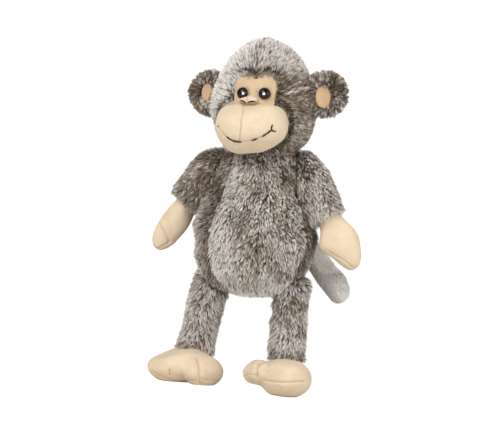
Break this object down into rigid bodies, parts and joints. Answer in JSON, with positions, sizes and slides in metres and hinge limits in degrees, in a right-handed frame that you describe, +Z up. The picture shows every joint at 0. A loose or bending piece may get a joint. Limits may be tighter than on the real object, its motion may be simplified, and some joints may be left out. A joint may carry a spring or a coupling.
{
  "type": "plush monkey",
  "caption": "Standing stuffed monkey in frosted long-pile plush with velboa face, hands and feet, disc ears, domed eyes, stitched smile and a short curved tail; head and limbs turn at seams.",
  "frame": {"origin": "on the floor, under the middle of the toy's width and depth", "axes": "+Z up from the soles to the crown, the face towards -Y, the toy's own left side towards +X"},
  "size_m": [0.232, 0.1546, 0.3698],
  "materials": {
    "plush": "long pile, dark roots and frosted tips",
    "tail_plush": "shorter grey pile",
    "velboa": "short brushed pile, cream tan",
    "fibre": "loose polyester fibre",
    "thread": "embroidery thread, satin",
    "eye": "polished dome",
    "washer": "moulded locking washer"
  },
  "bodies": {
    "torso": {"torso_front_panel": "plush", "torso_back_panel": "plush", "torso_filling": "fibre"},
    "head": {"head_left_panel": "plush", "head_right_panel": "plush", "head_filling": "fibre", "face_patch": "velboa", "nose_pad": "velboa", "muzzle_left_panel": "velboa", "muzzle_right_panel": "velboa", "muzzle_chin_panel": "velboa", "muzzle_filling": "fibre", "mouth_thread": "thread", "left_eye": "eye", "left_eye_washer": "washer", "left_nostril_thread": "thread", "right_eye": "eye", "right_eye_washer": "washer", "right_nostril_thread": "thread"},
    "tail": {"tail_cover": "tail_plush", "tail_filling": "fibre"},
    "left_ear": {"left_ear": "plush", "left_ear_lining": "velboa"},
    "left_arm": {"left_arm_cover": "plush", "left_arm_filling": "fibre"},
    "left_hand": {"left_hand_cover": "velboa", "left_hand_filling": "fibre"},
    "left_leg": {"left_leg_cover": "plush", "left_leg_filling": "fibre"},
    "left_foot": {"left_foot_cover": "velboa", "left_foot_filling": "fibre"},
    "right_ear": {"right_ear": "plush", "right_ear_lining": "velboa"},
    "right_arm": {"right_arm_cover": "plush", "right_arm_filling": "fibre"},
    "right_hand": {"right_hand_cover": "velboa", "right_hand_filling": "fibre"},
    "right_leg": {"right_leg_cover": "plush", "right_leg_filling": "fibre"},
    "right_foot": {"right_foot_cover": "velboa", "right_foot_filling": "fibre"}
  },
  "joints": [
    {"name": "neck_turn", "type": "hinge", "parent": "torso", "child": "head", "pos_m": [-0.002, -0.00196, 0.249], "axis": [0, 0, 1], "range_deg": [-40, 40]},
    {"name": "tail_wag", "type": "hinge", "parent": "torso", "child": "tail", "pos_m": [-0.002, 0.04586, 0.157], "axis": [0, -1, 0], "range_deg": [-55, 8]},
    {"name": "left_ear_flap", "type": "hinge", "parent": "head", "child": "left_ear", "pos_m": [0.05091, -0.00406, 0.31459], "axis": [0.2613, 0, -0.9653], "range_deg": [-25, 25]},
    {"name": "left_shoulder_swing", "type": "hinge", "parent": "torso", "child": "left_arm", "pos_m": [0.04323, -0.00196, 0.222], "axis": [-0.9422, 0, -0.3349], "range_deg": [-25, 80]},
    {"name": "left_wrist_twist", "type": "hinge", "parent": "left_arm", "child": "left_hand", "pos_m": [0.07773, -0.00196, 0.18618], "axis": [0.5736, 0, -0.8191], "range_deg": [-35, 35]},
    {"name": "left_hip_swing", "type": "hinge", "parent": "torso", "child": "left_leg", "pos_m": [0.04512, -0.00196, 0.118], "axis": [-0.7431, 0, 0.6691], "range_deg": [-25, 85]},
    {"name": "left_ankle_turn", "type": "hinge", "parent": "left_leg", "child": "left_foot", "pos_m": [0.0445, 0.00704, 0.036], "axis": [0, 0, 1], "range_deg": [-30, 30]},
    {"name": "right_ear_flap", "type": "hinge", "parent": "head", "child": "right_ear", "pos_m": [-0.06551, -0.00406, 0.30445], "axis": [0.087, 0, 0.9962], "range_deg": [-25, 25]},
    {"name": "right_shoulder_swing", "type": "hinge", "parent": "torso", "child": "right_arm", "pos_m": [-0.04724, -0.00196, 0.222], "axis": [-0.9422, 0, 0.3349], "range_deg": [-25, 80]},
    {"name": "right_wrist_twist", "type": "hinge", "parent": "right_arm", "child": "right_hand", "pos_m": [-0.07969, -0.00196, 0.18482], "axis": [-0.5299, 0, -0.848], "range_deg": [-35, 35]},
    {"name": "right_hip_swing", "type": "hinge", "parent": "torso", "child": "right_leg", "pos_m": [-0.04913, -0.00196, 0.118], "axis": [-0.7431, 0, -0.6691], "range_deg": [-25, 85]},
    {"name": "right_ankle_turn", "type": "hinge", "parent": "right_leg", "child": "right_foot", "pos_m": [-0.058, 0.00704, 0.036], "axis": [0, 0, 1], "range_deg": [-30, 30]}
  ]
}
